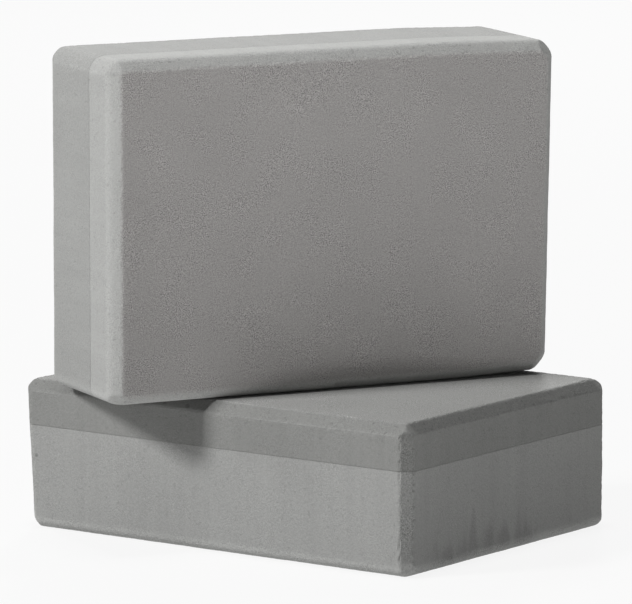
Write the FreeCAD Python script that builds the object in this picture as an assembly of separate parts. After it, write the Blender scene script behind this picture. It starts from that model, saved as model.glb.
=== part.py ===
import FreeCAD, Part
import math
import os

# A pair of foam yoga blocks: one lies flat, the other stands across it on its long narrow side.
# Each block is a thin and a thick sheet of closed-cell foam, glued face to face, cut to size with
# a knife and then bevelled along every edge.
# The origin is the middle of the lower block's base, with +X along its length and +Z up.
# Sizes are in millimetres and degrees.

# Sizes that both blocks share: the thick sheet comes from one stock
thick_layer = 49.3
bevel_leg = 5.0

# Glue between the two sheets, drawn back from the cut faces so that a fine groove shows
film_thickness = 0.2
film_recess = 0.2

# Sizes of each block: the knife leaves them a few millimetres apart, and the upper one is more worn
lower_length = 224.0
lower_width = 164.0
lower_thin_layer = 21.5
lower_end_lean = 3.0
lower_arris_radius = 1.5
upper_length = 228.0
upper_width = 160.0
upper_thin_layer = 25.5
upper_end_lean = 0.0
upper_arris_radius = 3.5

# How the upper block stands on the lower one
stack_turn = 61.5
stack_shift_x = -3.7
stack_shift_y = -4.8

# Room left round a shape when it is trimmed
cut_overrun = 10.0

X_AXIS = FreeCAD.Vector(1, 0, 0)
Z_AXIS = FreeCAD.Vector(0, 0, 1)
QUARTER_TURN = 90


def bevelled_block(length, width, thickness, end_lean, arris_radius):
    """One whole block lying flat. Its left end leans in towards the base, every edge is bevelled,
    three bevels meet at each corner, and every arris that they leave is softened."""
    lean_run = thickness * math.tan(math.radians(end_lean))
    base_left = FreeCAD.Vector(lean_run - length / 2, -width / 2, 0)
    base_right = FreeCAD.Vector(length / 2, -width / 2, 0)
    top_right = FreeCAD.Vector(length / 2, -width / 2, thickness)
    top_left = FreeCAD.Vector(-length / 2, -width / 2, thickness)
    side = Part.Face(Part.makePolygon([base_left, base_right, top_right, top_left, base_left]))
    blank = side.extrude(FreeCAD.Vector(0, width, 0))
    bevelled = blank.makeChamfer(bevel_leg, blank.Edges)
    return bevelled.makeFillet(arris_radius, bevelled.Edges)


def between_levels(shape, bottom, top):
    """What a flat block has between two levels, sliced square to its thickness."""
    box = shape.BoundBox
    corner = FreeCAD.Vector(box.XMin - cut_overrun, box.YMin - cut_overrun, bottom)
    slice_length = box.XLength + 2 * cut_overrun
    slice_width = box.YLength + 2 * cut_overrun
    return shape.common(Part.makeBox(slice_length, slice_width, top - bottom, corner))


def whole_thickness(thin_layer):
    """The thickness of a block: its two sheets and the glue between them."""
    return thick_layer + film_thickness + thin_layer


def block_pieces(length, width, thin_layer, end_lean, arris_radius):
    """The two sheets and the glue film of one block lying flat, with its thin sheet on top."""
    thickness = whole_thickness(thin_layer)
    whole = bevelled_block(length, width, thickness, end_lean, arris_radius)
    glued_length = length - 2 * film_recess
    glued_width = width - 2 * film_recess
    glued_area = bevelled_block(glued_length, glued_width, thickness, end_lean, arris_radius)
    film_top = thick_layer + film_thickness
    return {
        "thin_layer": between_levels(whole, film_top, thickness),
        "glue_film": between_levels(glued_area, thick_layer, film_top),
        "thick_layer": between_levels(whole, 0, thick_layer),
    }


def stood_across(piece):
    """A piece of the upper block, stood up on the lower block's top with its thin sheet to the front."""
    upright = FreeCAD.Placement(
        FreeCAD.Vector(0, whole_thickness(upper_thin_layer) / 2, upper_width / 2),
        FreeCAD.Rotation(X_AXIS, QUARTER_TURN),
    )
    on_top = FreeCAD.Placement(
        FreeCAD.Vector(stack_shift_x, stack_shift_y, whole_thickness(lower_thin_layer)),
        FreeCAD.Rotation(Z_AXIS, stack_turn),
    )
    return piece.transformed((on_top * upright).toMatrix())


def save(piece, node):
    """Writes one piece's single solid under its node's name."""
    solid = piece.Solids[0]
    if len(piece.Solids) != 1 or not solid.isValid():
        raise ValueError(node + " is not one valid solid")
    solid.exportStep("parts/" + node + ".step")


os.makedirs("parts", exist_ok=True)

lower_pieces = block_pieces(lower_length, lower_width, lower_thin_layer, lower_end_lean, lower_arris_radius)
for name, piece in lower_pieces.items():
    save(piece, "lower_block_" + name)

upper_pieces = block_pieces(upper_length, upper_width, upper_thin_layer, upper_end_lean, upper_arris_radius)
for name, piece in upper_pieces.items():
    save(stood_across(piece), "upper_block_" + name)
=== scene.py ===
import math

import bpy
from mathutils import Matrix, Vector


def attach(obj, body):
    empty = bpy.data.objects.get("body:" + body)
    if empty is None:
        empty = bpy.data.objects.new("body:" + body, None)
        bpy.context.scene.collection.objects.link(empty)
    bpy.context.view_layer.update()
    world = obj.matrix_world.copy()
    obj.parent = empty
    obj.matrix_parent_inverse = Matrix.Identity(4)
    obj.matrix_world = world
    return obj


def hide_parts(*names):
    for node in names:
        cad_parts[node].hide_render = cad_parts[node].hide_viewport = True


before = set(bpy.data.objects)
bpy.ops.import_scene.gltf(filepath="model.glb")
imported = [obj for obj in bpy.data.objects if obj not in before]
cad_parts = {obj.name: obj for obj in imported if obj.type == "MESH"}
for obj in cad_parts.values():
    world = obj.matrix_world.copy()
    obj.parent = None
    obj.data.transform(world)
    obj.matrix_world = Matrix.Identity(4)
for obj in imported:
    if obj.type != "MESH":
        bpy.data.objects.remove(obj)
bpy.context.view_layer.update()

# Foam sheets
# Each block is a thick and a thin sheet of closed-cell foam, split flat and glued face to face.
# The blank is cut to size with a straight knife, and then a cutter takes a bevel off every edge. The
# cutter wanders a little, so the bevels vary in width and their arrises are softened and nicked.

BEVEL_LEG = 0.005
BEVEL_WANDER_SHARE = 0.18
BEVEL_WANDER_SIZE = 0.030
BEVEL_WAVER_SHARE = 0.5
BEVEL_WAVER_SIZE = 0.007
HALF_BEVEL_TURN = math.pi / 8
EDGE_REACH = 0.009
SIDE_LIMIT_SHARES = (0.1, 0.4)
FACE_WAVE = 0.00025
FACE_WAVE_SIZE = 0.055
NICK_SIZE = 0.0024
NICK_LIMIT_SHARES = (0.42, 0.66)
FOOT_WEAR_SHARE = 0.75
KNIFE_RIPPLE = 0.00006
KNIFE_RIPPLE_SIZE = 0.003
KNIFE_RIPPLE_UP_SHARE = 0.12
GLUED_RIM_ANGLE = math.radians(60)
MESH_CELL_ALONG = 0.0013
MESH_CELL_UP = 0.0010
EDGE_CROWDING_SHARE = 0.7


class Wire:
    """One output of a node. Arithmetic on wires adds Math or Vector Math nodes to their tree."""

    def __init__(self, tree, socket=None):
        self.tree = tree
        self.socket = socket

    def node(self, kind, settings=None, values=None):
        """Adds a node, applies its settings, feeds its sockets and gives its first live output."""
        made = self.tree.nodes.new(kind)
        for name, setting in (settings or {}).items():
            setattr(made, name, setting)
        for key, value in (values or {}).items():
            socket = made.inputs[key] if isinstance(key, int) else self.live(made.inputs, key)
            if isinstance(value, Wire):
                self.tree.links.new(value.socket, socket)
            elif socket.type == "VECTOR" and isinstance(value, (int, float)):
                socket.default_value = (value, value, value)
            else:
                socket.default_value = value
        return Wire(self.tree, next((output for output in made.outputs if output.enabled), None))

    @staticmethod
    def live(sockets, key):
        """The socket in use that has this name or identifier."""
        in_use = (socket for socket in sockets if socket.enabled)
        return next(socket for socket in in_use if key in (socket.name, socket.identifier))

    def output(self, name):
        """Another output of this wire's node."""
        return Wire(self.tree, self.live(self.socket.node.outputs, name))

    def stored(self, name, output="Fac"):
        """What the mesh keeps under this name, as a number or as a vector."""
        return self.node("ShaderNodeAttribute", {"attribute_name": name}).output(output)

    def maths(self, operation, *terms):
        """A Math node, or a Vector Math node where a term is a vector."""
        has_vector = any(isinstance(term, Wire) and term.socket.type == "VECTOR" for term in terms)
        kind = "ShaderNodeVectorMath" if has_vector else "ShaderNodeMath"
        return self.node(kind, {"operation": operation}, dict(enumerate(terms)))

    def smooth_step(self, low, high):
        """0 where this wire is at low, 1 where it is at high, and a soft change between."""
        settings = {"interpolation_type": "SMOOTHSTEP"}
        return self.node("ShaderNodeMapRange", settings, {"Value": self, "From Min": low, "From Max": high})

    def noise(self, size, detail=2.0):
        """Noise from 0 to 1 on this vector, with lumps of about this size."""
        return self.node("ShaderNodeTexNoise", None, {"Vector": self, "Scale": 1 / size, "Detail": detail})

    def lumps(self, size, detail=2.0):
        """The same noise about zero, from -0.5 to 0.5."""
        return self.noise(size, detail) - 0.5

    def __add__(self, other):
        return self.maths("ADD", self, other)

    def __radd__(self, other):
        return self.maths("ADD", other, self)

    def __sub__(self, other):
        return self.maths("SUBTRACT", self, other)

    def __rsub__(self, other):
        return self.maths("SUBTRACT", other, self)

    def __mul__(self, other):
        return self.maths("MULTIPLY", self, other)

    def __rmul__(self, other):
        return self.maths("MULTIPLY", other, self)

    def __truediv__(self, other):
        return self.maths("DIVIDE", self, other)

    def __rtruediv__(self, other):
        return self.maths("DIVIDE", other, self)

    def __pow__(self, other):
        return self.maths("POWER", self, other)


SHEET_INPUTS = {
    "Length": "Float",
    "Width": "Float",
    "Block Thickness": "Float",
    "Sheet Bottom": "Float",
    "Sheet Top": "Float",
    "End Lean": "Float",
    "Bevel Leg": "Float",
    "Bevel Wander": "Float",
    "Edge Reach": "Float",
    "Arris Sharpness": "Float",
    "Left Corner Cut": "Float",
    "Right Corner Cut": "Float",
    "Right End Skew": "Float",
    "Right End Taper": "Float",
    "Right End Reach": "Float",
    "Cut Rounding": "Float",
    "Face Rounding": "Float",
    "Foot": "Vector",
    "Foot Bevel Share": "Float",
    "Foot Rounding": "Float",
    "Face Wave": "Float",
    "Nick Depth": "Float",
    "Knife Ripple": "Float",
    "Cells Along": "Int",
    "Cells Across": "Int",
    "Cells Up": "Int",
    "Seed": "Float",
    "Material": "Material",
}


def sheet_tree():
    """Makes one sheet of a block that lies flat, with its middle over the origin and its base at 0.

    A finely divided box is drawn in towards the block's core until it has the bevels: near an edge, a
    soft maximum of the distances to the faces, the bevels and the blunted corners gives the new surface.
    """
    tree = bpy.data.node_groups.new("foam_sheet", "GeometryNodeTree")
    for name, kind in SHEET_INPUTS.items():
        tree.interface.new_socket(name=name, in_out="INPUT", socket_type="NodeSocket" + kind)
    tree.interface.new_socket(name="Sheet", in_out="OUTPUT", socket_type="NodeSocketGeometry")
    start = Wire(tree)
    given = start.node("NodeGroupInput")
    length = given.output("Length")
    width = given.output("Width")
    thickness = given.output("Block Thickness")
    bottom = given.output("Sheet Bottom")
    top = given.output("Sheet Top")
    reach = given.output("Edge Reach")
    sharpness = given.output("Arris Sharpness")

    def greater(first, second):
        """The greater of two values."""
        return start.maths("MAXIMUM", first, second)

    def vector(x, y, z):
        """A vector of three values."""
        return start.node("ShaderNodeCombineXYZ", None, {"X": x, "Y": y, "Z": z})

    def parts(joined):
        """The three values of a vector."""
        split = start.node("ShaderNodeSeparateXYZ", None, {"Vector": joined})
        return [split.output(axis) for axis in "XYZ"]

    # The box, with its rows of points crowded towards the edges
    box = start.node("GeometryNodeMeshCube", None, {
        "Size": 2.0,
        "Vertices X": given.output("Cells Along") + 1,
        "Vertices Y": given.output("Cells Across") + 1,
        "Vertices Z": given.output("Cells Up") + 1,
    })
    unit_point = start.node("GeometryNodeInputPosition")
    half_crowding = EDGE_CROWDING_SHARE / 2
    crowded = unit_point * (1 + half_crowding - half_crowding * (unit_point * unit_point))
    sheet_half = vector(length / 2, width / 2, (top - bottom) / 2)
    sheet_middle = vector(0.0, 0.0, (top + bottom) / 2 - thickness / 2)
    point = crowded * sheet_half + sheet_middle

    # How far each point lies outside the block's core
    core_half = vector(length / 2 - reach, width / 2 - reach, thickness / 2 - reach)
    core_point = start.maths("MINIMUM", greater(point, core_half * -1.0), core_half)
    outward = point - core_point
    out_x, out_y, out_z = parts(start.maths("ABSOLUTE", outward))
    least_distance = 1e-6
    furthest = greater(greater(greater(out_x, out_y), out_z), least_distance)
    share_x, share_y, share_z = (distance / furthest for distance in (out_x, out_y, out_z))

    # The bevel's width wanders along each edge, and it is less along the edges that the block rests on
    seeded = point + given.output("Seed")
    waver = BEVEL_WAVER_SHARE * seeded.lumps(BEVEL_WAVER_SIZE)
    wander = seeded.lumps(BEVEL_WANDER_SIZE, detail=1.0) + waver
    leg = given.output("Bevel Leg") * (1 + given.output("Bevel Wander") * wander)
    side_signs = start.maths("SIGN", point)
    on_foot = given.output("Foot") * ((1 - side_signs) / 2)
    foot_y, foot_z = parts(on_foot)[1:]

    def edge_power(share_a, share_b, foot, rounding_a, rounding_b):
        """The bevel between two sides, with a step towards a side where it is rounded there."""
        foot_rounding = given.output("Foot Rounding") * foot
        rest_leg = leg * (1 - (1 - given.output("Foot Bevel Share")) * foot)
        flat = ((share_a + share_b) * (reach / (2 * reach - rest_leg))) ** sharpness
        steep = math.cos(HALF_BEVEL_TURN)
        shallow = math.sin(HALF_BEVEL_TURN)
        full_rounding = (steep + shallow - 1) / (2 - math.sqrt(2)) - shallow
        step_reach = steep * reach + shallow * (reach - rest_leg) - full_rounding * rest_leg
        step_a = ((steep * share_a + shallow * share_b) * (reach / step_reach)) ** sharpness
        step_b = ((shallow * share_a + steep * share_b) * (reach / step_reach)) ** sharpness
        round_a = greater(rounding_a, foot_rounding) * step_a
        round_b = greater(rounding_b, foot_rounding) * step_b
        return flat + round_a + round_b

    # Each corner is blunted past the point where its three bevels meet, by the cut of its own end
    on_right = (1 + parts(side_signs)[0]) / 2
    left_cut = given.output("Left Corner Cut")
    right_cut = given.output("Right Corner Cut")
    corner_cut = left_cut + (right_cut - left_cut) * on_right
    bevels_meet = 3 * (2 * reach - leg) / 2
    corner_scale = reach / (bevels_meet - corner_cut * math.sqrt(3))

    # The soft maximum, and what shares of it the flat faces and the bevels have
    cut_rounding = given.output("Cut Rounding")
    face_rounding = given.output("Face Rounding")
    skin_power = share_z ** sharpness
    cut_power = share_x ** sharpness + share_y ** sharpness
    bevel_power = (
        edge_power(share_x, share_y, foot_y, cut_rounding, cut_rounding)
        + edge_power(share_y, share_z, greater(foot_y, foot_z), face_rounding, 0.0)
        + edge_power(share_x, share_z, foot_z, face_rounding, 0.0)
        + ((share_x + share_y + share_z) * corner_scale) ** sharpness
    )
    whole_power = skin_power + cut_power + bevel_power
    bevel = bevel_power / whole_power
    skin = skin_power / whole_power
    draw_in = greater(whole_power, 1.0) ** (1 / sharpness)

    def near_side(side):
        """1 at the edges of the side that this vector marks, and 0 away from it."""
        shares = vector(share_x, share_y, share_z)
        return start.maths("DOT_PRODUCT", side, shares).smooth_step(*SIDE_LIMIT_SHARES)

    at_foot = near_side(on_foot)
    at_rim = near_side(given.output("Foot") - on_foot)
    at_end = 1 - share_y.smooth_step(*SIDE_LIMIT_SHARES)

    # Faces that are not quite flat, nicks along the arrises and the knife's ripple on the cut sides
    wave = given.output("Face Wave") * seeded.noise(FACE_WAVE_SIZE, detail=1.0)
    arris = 4 * bevel * (1 - bevel)
    nicked = seeded.noise(NICK_SIZE).smooth_step(*NICK_LIMIT_SHARES)
    nick = given.output("Nick Depth") * arris * nicked * (1 - FOOT_WEAR_SHARE * at_foot)
    drawn_out = seeded * vector(1.0, 1.0, KNIFE_RIPPLE_UP_SHARE)
    ripple = given.output("Knife Ripple") * (1 - skin) * drawn_out.noise(KNIFE_RIPPLE_SIZE)
    inset = wave + nick + ripple
    drawn = core_point + outward * ((1 - inset / reach) / draw_in)

    # The left end leans in towards the base. The right end is cut a little out of square, and it is
    # worn narrower on both sides.
    drawn_x, drawn_y, drawn_z = parts(drawn)
    along = drawn_x / length
    across = drawn_y / width
    lean_run = given.output("End Lean") * (thickness / 2 - drawn_z)
    skew_run = given.output("Right End Skew") * across
    worn = drawn_x.smooth_step(length / 2 - given.output("Right End Reach"), length / 2)
    standing = drawn + vector(
        lean_run * (0.5 - along) + skew_run * (0.5 + along),
        -2 * given.output("Right End Taper") * across * worn,
        thickness / 2,
    )

    # The mesh keeps what the finish needs: its shares of each surface, and its place in the flat block
    shape = box
    finish_shares = {
        "bevel": bevel,
        "foot_bevel": bevel * at_foot,
        "rim_bevel": bevel * at_rim,
        "at_end": at_end,
        "skin": skin,
    }
    for name, share in finish_shares.items():
        settings = {"data_type": "FLOAT", "domain": "POINT"}
        values = {"Geometry": shape, "Name": name, "Value": share}
        shape = start.node("GeometryNodeStoreNamedAttribute", settings, values)
    shape = start.node("GeometryNodeSetPosition", None, {"Geometry": shape, "Position": standing})
    settings = {"data_type": "FLOAT_VECTOR", "domain": "POINT"}
    values = {"Geometry": shape, "Name": "foam_place", "Value": start.node("GeometryNodeInputPosition")}
    shape = start.node("GeometryNodeStoreNamedAttribute", settings, values)

    # The rim where a sheet meets the glue stays sharp
    edge_angle = start.node("GeometryNodeInputMeshEdgeAngle")
    shape = start.node("GeometryNodeSetShadeSmooth", {"domain": "EDGE"}, {
        "Geometry": shape,
        "Selection": start.maths("GREATER_THAN", edge_angle, GLUED_RIM_ANGLE),
        "Shade Smooth": False,
    })
    shape = start.node("GeometryNodeRealizeInstances", None, {"Geometry": shape})
    material = given.output("Material")
    shape = start.node("GeometryNodeSetMaterial", None, {"Geometry": shape, "Material": material})
    start.node("NodeGroupOutput", None, {"Sheet": shape})
    return tree


def own_box(nodes, place):
    """The lowest and highest corners of CAD nodes in their block's own frame, in which it lies flat."""
    to_own = place.inverted()
    corners = [to_own @ vertex.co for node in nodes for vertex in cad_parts[node].data.vertices]
    return Vector(map(min, zip(*corners))), Vector(map(max, zip(*corners)))


def made_sheet(name, tree, sizes, place):
    """Runs the tree once with these sizes and keeps the result as a plain mesh, put in its place."""
    mould = bpy.data.objects.new(name + "_mould", bpy.data.meshes.new(name + "_mould"))
    bpy.context.scene.collection.objects.link(mould)
    modifier = mould.modifiers.new("sheet", "NODES")
    modifier.node_group = tree
    for item in tree.interface.items_tree:
        if item.in_out == "INPUT":
            modifier[item.identifier] = sizes[item.name]
    evaluated = mould.evaluated_get(bpy.context.evaluated_depsgraph_get())
    mesh = bpy.data.meshes.new_from_object(evaluated)
    bpy.data.objects.remove(mould)
    mesh.name = name
    mesh.transform(place)
    piece = bpy.data.objects.new(name, mesh)
    bpy.context.scene.collection.objects.link(piece)
    return piece


def block_form(block, turned, arris_radius, own_sizes):
    """Where a block lies and the sizes that its sheets share, from its CAD nodes and how it is turned."""
    nodes = [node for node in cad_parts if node.startswith(block)]
    low, high = own_box(nodes, turned)
    middle = (low + high) / 2
    arris_gap = arris_radius * (1 / math.cos(HALF_BEVEL_TURN) - 1)
    sizes = {
        "Block Thickness": high.z - low.z,
        "Bevel Leg": BEVEL_LEG,
        "Bevel Wander": BEVEL_WANDER_SHARE,
        "Edge Reach": EDGE_REACH,
        "Arris Sharpness": math.log(2) / math.log(1 + arris_gap / EDGE_REACH),
        "Face Wave": FACE_WAVE,
        "Knife Ripple": KNIFE_RIPPLE,
        **own_sizes,
    }
    return {"place": turned @ Matrix.Translation((middle.x, middle.y, low.z)), "sizes": sizes}


def sheet_sizes(form, node, mesh_cell_along, mesh_cell_up, material):
    """The tree's sizes for one node of a block, taken from the CAD node."""
    low, high = own_box([node], form["place"])
    return {
        **form["sizes"],
        "Length": 2 * high.x,
        "Width": 2 * high.y,
        "Sheet Bottom": low.z,
        "Sheet Top": high.z,
        "Cells Along": round(2 * high.x / mesh_cell_along),
        "Cells Across": round(2 * high.y / mesh_cell_along),
        "Cells Up": max(1, round((high.z - low.z) / mesh_cell_up)),
        "Material": material,
    }


# How each block lies and how it is worn. Foot marks the axis, in the block's own frame, whose lower side
# the block rests on.
LOWER_END_LEAN = math.radians(3.0)
LOWER_ARRIS_RADIUS = 0.0015
LOWER_TURNED = Matrix.Identity(4)
LOWER_SIZES = {
    "End Lean": math.tan(LOWER_END_LEAN),
    "Left Corner Cut": 0.0008,
    "Right Corner Cut": 0.0004,
    "Right End Skew": 0.0,
    "Right End Taper": 0.0,
    "Right End Reach": 0.050,
    "Cut Rounding": 0.0,
    "Face Rounding": 0.0,
    "Foot": (0.0, 0.0, 1.0),
    "Foot Bevel Share": 0.7,
    "Foot Rounding": 1.0,
    "Nick Depth": 0.0005,
    "Seed": 3.0,
}
UPPER_STACK_TURN = math.radians(61.5)
QUARTER_TURN = math.radians(90)
UPPER_ARRIS_RADIUS = 0.0025
UPPER_TURNED = Matrix.Rotation(UPPER_STACK_TURN, 4, "Z") @ Matrix.Rotation(QUARTER_TURN, 4, "X")
UPPER_SIZES = {
    "End Lean": 0.0,
    "Left Corner Cut": 0.0018,
    "Right Corner Cut": 0.0034,
    "Right End Skew": 0.0031,
    "Right End Taper": 0.0013,
    "Right End Reach": 0.060,
    "Cut Rounding": 1.0,
    "Face Rounding": 1.0,
    "Foot": (0.0, 1.0, 0.0),
    "Foot Bevel Share": 0.6,
    "Foot Rounding": 1.0,
    "Nick Depth": 0.0002,
    "Seed": 11.0,
}
FORMS = {
    "lower_block": block_form("lower_block", LOWER_TURNED, LOWER_ARRIS_RADIUS, LOWER_SIZES),
    "upper_block": block_form("upper_block", UPPER_TURNED, UPPER_ARRIS_RADIUS, UPPER_SIZES),
}
foam_sheet = sheet_tree()

# The foam's grain, its unevenness and how rough it is
PEBBLE_SIZE = 0.00055
PEBBLE_PATCH_SIZE = 0.016
PEBBLE_PATCH_LIMIT_SHARES = (0.30, 0.70)
PEBBLE_LEAST_SHARE = 0.5
CELL_SIZE = 0.0012
MOTTLE_SIZE = 0.040
STREAK_SIZE = 0.006
STREAK_UP_SHARE = 0.05
PORE_SIZE = 0.0022
PORE_LIMIT_SHARES = (0.26, 0.36)
CUT_GRAIN_SHARE = 0.48
SKIN_GRAIN_SHARE = 1.5
CELL_TONE_SHARE = 0.12
CELL_MIDDLE_SHARE = 0.5
MOTTLE_TONE_SHARE = 0.14
STREAK_TONE_SHARE = 0.15
# A painted highlight: a lighter line along every arris
ARRIS_HIGHLIGHT_SHARE = 0.06
PORE_TONE_SHARE = 0.08
PEBBLE_HEIGHT_SHARE = 1.2
CELL_DEPTH_SHARE = 0.8
PORE_DEPTH_SHARE = 0.6
BUMP_STRENGTH = 0.35
BUMP_DISTANCE = 0.0004
FOAM_ROUGHNESS = 0.88
PEBBLE_ROUGHNESS_SHARE = 0.15
FOAM_SPECULAR = 0.3

# Scuffs up the lower block's right end, and a pit in its front side near the left end
SCUFFED_FROM = 0.108
SCUFFED_SPAN = (-0.064, 0.026)
SCUFF_SPACING = 0.009
SCUFF_UP_SHARE = 0.15
SCUFF_HEIGHT = 0.050
SCUFF_LIMIT_SHARES = (0.20, 0.42)
SCUFF_TONE_SHARE = 0.20
PIT_PLACE = (-0.1027, -0.0820, 0.0350)
PIT_RADIUS = 0.0012
PIT_TONE_SHARE = 0.35


def foam_marks(start, place):
    """How much darker the handled block is: scuffs rubbed up one end from the floor, and one small pit."""
    axes = start.node("ShaderNodeSeparateXYZ", None, {"Vector": place})
    x, y, z = (axes.output(axis) for axis in "XYZ")
    on_end = x.smooth_step(SCUFFED_FROM, SCUFFED_FROM + BEVEL_LEG / 2)
    span_low, span_high = SCUFFED_SPAN
    past_low = y.smooth_step(span_low, span_low + SCUFF_SPACING)
    past_high = y.smooth_step(span_high - SCUFF_SPACING, span_high)
    along = start.node("ShaderNodeCombineXYZ", None, {"Y": y, "Z": z * SCUFF_UP_SHARE})
    rubbed = along.noise(SCUFF_SPACING, detail=1.0) - z / SCUFF_HEIGHT
    above_bevel = z.smooth_step(0.0, BEVEL_LEG)
    scuffs = on_end * past_low * (1 - past_high) * rubbed.smooth_step(*SCUFF_LIMIT_SHARES) * above_bevel
    pit_distance = start.maths("DISTANCE", place, PIT_PLACE).output("Value")
    pit = 1 - pit_distance.smooth_step(PIT_RADIUS / 2, PIT_RADIUS)
    return SCUFF_TONE_SHARE * scuffs + PIT_TONE_SHARE * pit


def side_or_end(shares, at_end):
    """The first of two shares along the long sides, the second along the ends."""
    side_share, end_share = shares
    return side_share + (end_share - side_share) * at_end


def bare_finish(name):
    """A material with no nodes yet, and the wire that its nodes start from."""
    material = bpy.data.materials.new(name)
    material.use_nodes = True
    material.node_tree.nodes.clear()
    return material, Wire(material.node_tree)


def foam_finish(name, cut_colour, skin_colour, bevel_look, handled):
    """Dull foam, pebbled with fine cells, mottled, streaked by the knife on its cut sides."""
    material, start = bare_finish(name)
    place = start.stored("foam_place", "Vector")
    bevel = start.stored("bevel")
    foot_bevel = start.stored("foot_bevel")
    rim_bevel = start.stored("rim_bevel")
    at_end = start.stored("at_end")
    skin = start.stored("skin")
    cut = 1 - skin - bevel
    arris = 4 * bevel * (1 - bevel)

    patches = place.noise(PEBBLE_PATCH_SIZE).smooth_step(*PEBBLE_PATCH_LIMIT_SHARES)
    pebbles = (PEBBLE_LEAST_SHARE + patches) * place.lumps(PEBBLE_SIZE, detail=1.0)
    cells = start.node("ShaderNodeTexVoronoi", None, {"Vector": place, "Scale": 1 / CELL_SIZE})
    depth = cells.output("Distance")
    mottle = place.lumps(MOTTLE_SIZE, detail=3.0)
    drawn_out = start.node("ShaderNodeCombineXYZ", None, {"X": 1.0, "Y": 1.0, "Z": STREAK_UP_SHARE})
    streaks = (place * drawn_out).lumps(STREAK_SIZE, detail=3.0)
    pores = 1 - place.noise(PORE_SIZE, detail=1.0).smooth_step(*PORE_LIMIT_SHARES)

    grain_share = (
        CUT_GRAIN_SHARE * cut
        + SKIN_GRAIN_SHARE * skin
        + bevel_look["grain_share"] * (bevel - rim_bevel)
        + bevel_look["rim_grain_share"] * rim_bevel
    )
    tone = (
        1
        + grain_share * pebbles
        + CELL_TONE_SHARE * (CELL_MIDDLE_SHARE - depth)
        + MOTTLE_TONE_SHARE * mottle
        + STREAK_TONE_SHARE * cut * streaks
        # Painted highlight: a lighter line along the arrises
        + ARRIS_HIGHLIGHT_SHARE * arris
        # Painted light and shade: the bevels, feet and rims made lighter or darker by how light falls on
        # them
        + bevel_look["tone_share"] * (bevel - foot_bevel - rim_bevel)
        + side_or_end(bevel_look["foot_painted_light_shares"], at_end) * foot_bevel
        + side_or_end(bevel_look["rim_painted_shade_shares"], at_end) * rim_bevel
        - PORE_TONE_SHARE * (1 + bevel) * pores
    )
    if handled:
        tone = tone - foam_marks(start, place)
    plain = start.node("ShaderNodeMix", {"data_type": "RGBA"}, {
        "Factor_Float": skin,
        "A_Color": (*cut_colour, 1.0),
        "B_Color": (*skin_colour, 1.0),
    })
    colour = start.node("ShaderNodeMix", {"data_type": "RGBA", "blend_type": "MULTIPLY"}, {
        "Factor_Float": 1.0,
        "A_Color": plain.output("Result_Color"),
        "B_Color": tone,
    })
    bump = start.node("ShaderNodeBump", None, {
        "Strength": BUMP_STRENGTH,
        "Distance": BUMP_DISTANCE,
        "Height": PEBBLE_HEIGHT_SHARE * pebbles - CELL_DEPTH_SHARE * depth - PORE_DEPTH_SHARE * pores,
    })
    shader = start.node("ShaderNodeBsdfPrincipled", None, {
        "Base Color": colour.output("Result_Color"),
        "Roughness": FOAM_ROUGHNESS + PEBBLE_ROUGHNESS_SHARE * pebbles,
        "Specular IOR Level": FOAM_SPECULAR,
        "Normal": bump,
    })
    start.node("ShaderNodeOutputMaterial", None, {"Surface": shader})
    return material


# The upper block's greys are lighter than the lower block's: partly their own stock, partly painted light
# for the stronger light on it
LOWER_PALE_CUT = (0.306, 0.308, 0.300)
LOWER_DARK_CUT = (0.228, 0.230, 0.222)
UPPER_PALE_CUT = (0.342, 0.344, 0.335)
UPPER_DARK_CUT = (0.290, 0.292, 0.284)
PALE_SKIN = (0.394, 0.382, 0.374)
DARK_SKIN = (0.247, 0.248, 0.241)

# What the bevels add to the tone and the grain, as a pair where the long sides and the ends differ
# The tone shares are painted light and shade: the upper bevels and the feet lighter, the lower bevels and
# rims darker
LOWER_BEVEL = {
    "tone_share": -0.07,
    "foot_painted_light_shares": (0.25, 0.12),
    "rim_painted_shade_shares": (-0.15, -0.39),
    "grain_share": 1.4,
    "rim_grain_share": 0.5,
}
UPPER_BEVEL = {
    "tone_share": 0.14,
    "foot_painted_light_shares": (0.20, 0.20),
    "rim_painted_shade_shares": (0.0, 0.0),
    "grain_share": 0.6,
    "rim_grain_share": 0.6,
}

# Each sheet's slot, the colours of its cut sides and its flat face, its bevels and whether it is marked
SHEETS = {
    "lower_block_thick": ("pale_foam", LOWER_PALE_CUT, PALE_SKIN, LOWER_BEVEL, True),
    "lower_block_thin": ("dark_foam", LOWER_DARK_CUT, DARK_SKIN, LOWER_BEVEL, False),
    "upper_block_thick": ("dark_foam", UPPER_DARK_CUT, DARK_SKIN, UPPER_BEVEL, False),
    "upper_block_thin": ("pale_foam", UPPER_PALE_CUT, PALE_SKIN, UPPER_BEVEL, False),
}
for name, (slot, cut_colour, skin_colour, bevel_look, handled) in SHEETS.items():
    block = name.rpartition("_")[0]
    node = name + "_layer"
    finish = foam_finish(name + "_foam", cut_colour, skin_colour, bevel_look, handled)
    sizes = sheet_sizes(FORMS[block], node, MESH_CELL_ALONG, MESH_CELL_UP, finish)
    piece = made_sheet(name + "_sheet", foam_sheet, sizes, FORMS[block]["place"])
    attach(piece, block)
    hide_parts(node)

# Glue films
# A thin film of contact glue holds the two sheets of each block together, and dries to a dull grey.
# The knife draws it back a little from the cut sides, so it shows only as a fine line.

FILM_MESH_CELL = 0.004
GLUE_COLOUR = (0.26, 0.26, 0.25)
GLUE_ROUGHNESS = 0.5
GLUE_TONE_SHARE = 0.7
SMEAR_SIZE = 0.010
SMEAR_TONE_SHARE = 0.6
SMEAR_ROUGHNESS_SHARE = 0.3


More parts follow.
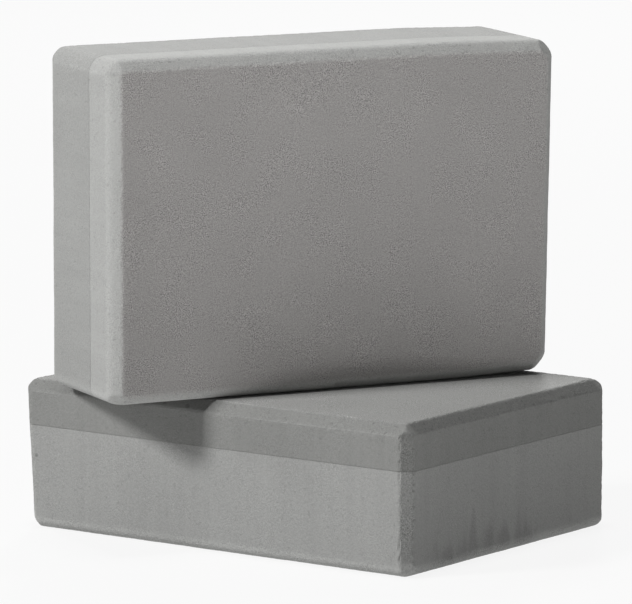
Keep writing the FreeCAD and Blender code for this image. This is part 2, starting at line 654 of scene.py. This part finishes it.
def glue_finish():
    """Dull dried glue, a little uneven in tone."""
    material, start = bare_finish("contact_glue")
    smears = start.stored("foam_place", "Vector").noise(SMEAR_SIZE, detail=3.0)
    colour = start.node("ShaderNodeMix", {"data_type": "RGBA", "blend_type": "MULTIPLY"}, {
        "Factor_Float": 1.0,
        "A_Color": (*GLUE_COLOUR, 1.0),
        "B_Color": GLUE_TONE_SHARE + SMEAR_TONE_SHARE * smears,
    })
    shader = start.node("ShaderNodeBsdfPrincipled", None, {
        "Base Color": colour.output("Result_Color"),
        "Roughness": GLUE_ROUGHNESS + SMEAR_ROUGHNESS_SHARE * smears,
    })
    start.node("ShaderNodeOutputMaterial", None, {"Surface": shader})
    return material


contact_glue = glue_finish()
for block, form in FORMS.items():
    node = block + "_glue_film"
    sizes = sheet_sizes(form, node, FILM_MESH_CELL, FILM_MESH_CELL, contact_glue)
    piece = made_sheet(block + "_glue_line", foam_sheet, sizes, form["place"])
    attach(piece, block)
    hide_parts(node)

# Floor and backdrop
# A plain grey studio floor that glows softly and throws light up under the blocks' edges. Seen directly,
# it is mostly white, with their soft shadow on it, and the room round it is white.

FLOOR_SIZE = 12.0
FLOOR_COLOUR = (0.30, 0.30, 0.30, 1.0)
FLOOR_GLOW = 0.41
SHOWN_WHITE_SHARE = 0.80
WHITE = (1.0, 1.0, 1.0, 1.0)


def seen_directly(start):
    """1 for rays from the camera and for mirrored and refracted ones, 0 for rays that carry light about."""
    path = start.node("ShaderNodeLightPath")
    seen = start.maths("MAXIMUM", path.output("Is Camera Ray"), path.output("Is Glossy Ray"))
    return start.maths("MAXIMUM", seen, path.output("Is Transmission Ray"))


floor_paint, start = bare_finish("floor_paint")
paint = start.node("ShaderNodeBsdfDiffuse", None, {"Color": FLOOR_COLOUR})
glow = start.node("ShaderNodeEmission", None, {"Color": WHITE, "Strength": FLOOR_GLOW})
lit = start.node("ShaderNodeAddShader", None, {0: paint, 1: glow})
white = start.node("ShaderNodeEmission", None, {"Color": WHITE, "Strength": 1.0})
shown_share = SHOWN_WHITE_SHARE * seen_directly(start)
mixed = start.node("ShaderNodeMixShader", None, {0: shown_share, 1: lit, 2: white})
start.node("ShaderNodeOutputMaterial", None, {"Surface": mixed})

floor_mesh = bpy.data.meshes.new("studio_floor")
half_floor = FLOOR_SIZE / 2
floor_corners = [
    (-half_floor, -half_floor, 0),
    (half_floor, -half_floor, 0),
    (half_floor, half_floor, 0),
    (-half_floor, half_floor, 0),
]
floor_mesh.from_pydata(floor_corners, [], [(0, 1, 2, 3)])
floor_mesh.materials.append(floor_paint)
studio_floor = bpy.data.objects.new("studio_floor", floor_mesh)
bpy.context.scene.collection.objects.link(studio_floor)

room = bpy.data.worlds.new("white_room")
room.use_nodes = True
room.node_tree.nodes.clear()
start = Wire(room.node_tree)
shell = start.node("ShaderNodeBackground", None, {"Color": WHITE, "Strength": seen_directly(start)})
start.node("ShaderNodeOutputWorld", None, {"Surface": shell})
bpy.context.scene.world = room

# Lamps
# Five soft boxes at one distance: a key in front, one at each side, one overhead and one behind. A sixth,
# smaller one lies on the floor to the right and shines up at the standing block.

# Azimuth and elevation in degrees, and power in watts
LAMPS = {
    "key_softbox": (-30, 36, 76.0),
    "left_softbox": (-60, 20, 8.0),
    "right_softbox": (105, 10, 5.5),
    "top_softbox": (0, 88, 46.0),
    "back_softbox": (-150, 30, 40.0),
}
LAMP_DISTANCE = 3.0
LAMP_SIZE = 0.5
LAMP_AIM = Vector((0.0, 0.0, 0.11))
FLOOR_LAMP_AZIMUTH = 55
FLOOR_LAMP_DISTANCE = 0.6
FLOOR_LAMP_HEIGHT = 0.01
FLOOR_LAMP_SIZE = 0.3
FLOOR_LAMP_POWER = 2.6
DOWN = Vector((0.0, 0.0, -1.0))


def direction(azimuth, elevation):
    """The unit vector towards a place in the room. Azimuth 0 is in front, at -Y, and 90 is at +X."""
    turn = math.radians(azimuth)
    rise = math.radians(elevation)
    return Vector((math.sin(turn) * math.cos(rise), -math.cos(turn) * math.cos(rise), math.sin(rise)))


def soft_box(name, place, back, size, power):
    """A square lamp whose back faces this way. The camera doesn't see it."""
    lamp = bpy.data.lights.new(name, "AREA")
    lamp.shape = "SQUARE"
    lamp.size = size
    lamp.energy = power
    lamp_object = bpy.data.objects.new(name, lamp)
    lamp_object.location = place
    lamp_object.rotation_euler = back.to_track_quat("Z", "Y").to_euler()
    lamp_object.visible_camera = False
    bpy.context.scene.collection.objects.link(lamp_object)


for name, (azimuth, elevation, power) in LAMPS.items():
    towards = direction(azimuth, elevation)
    soft_box(name, LAMP_AIM + LAMP_DISTANCE * towards, towards, LAMP_SIZE, power)
floor_lamp_place = FLOOR_LAMP_DISTANCE * direction(FLOOR_LAMP_AZIMUTH, 0) - FLOOR_LAMP_HEIGHT * DOWN
soft_box("floor_softbox", floor_lamp_place, DOWN, FLOOR_LAMP_SIZE, FLOOR_LAMP_POWER)

# Camera
# A long lens, three metres off, so the blocks' edges stay nearly parallel. It looks across the near corner
# of the lower block, from a little above.

CAMERA_AZIMUTH = 36.06
CAMERA_ELEVATION = 8.87
CAMERA_DISTANCE = 3.118
CAMERA_AIM = Vector((0.0005, 0.0004, 0.1071))
CAMERA_LENS = 377.6
CAMERA_SENSOR = 36.0
back = direction(CAMERA_AZIMUTH, CAMERA_ELEVATION)
camera = bpy.data.cameras.new("camera")
camera.lens = CAMERA_LENS
camera.sensor_width = CAMERA_SENSOR
camera_object = bpy.data.objects.new("camera", camera)
camera_object.location = CAMERA_AIM + CAMERA_DISTANCE * back
camera_object.rotation_euler = back.to_track_quat("Z", "Y").to_euler()
bpy.context.scene.collection.objects.link(camera_object)
bpy.context.scene.camera = camera_object
bpy.context.scene.view_settings.view_transform = "Standard"
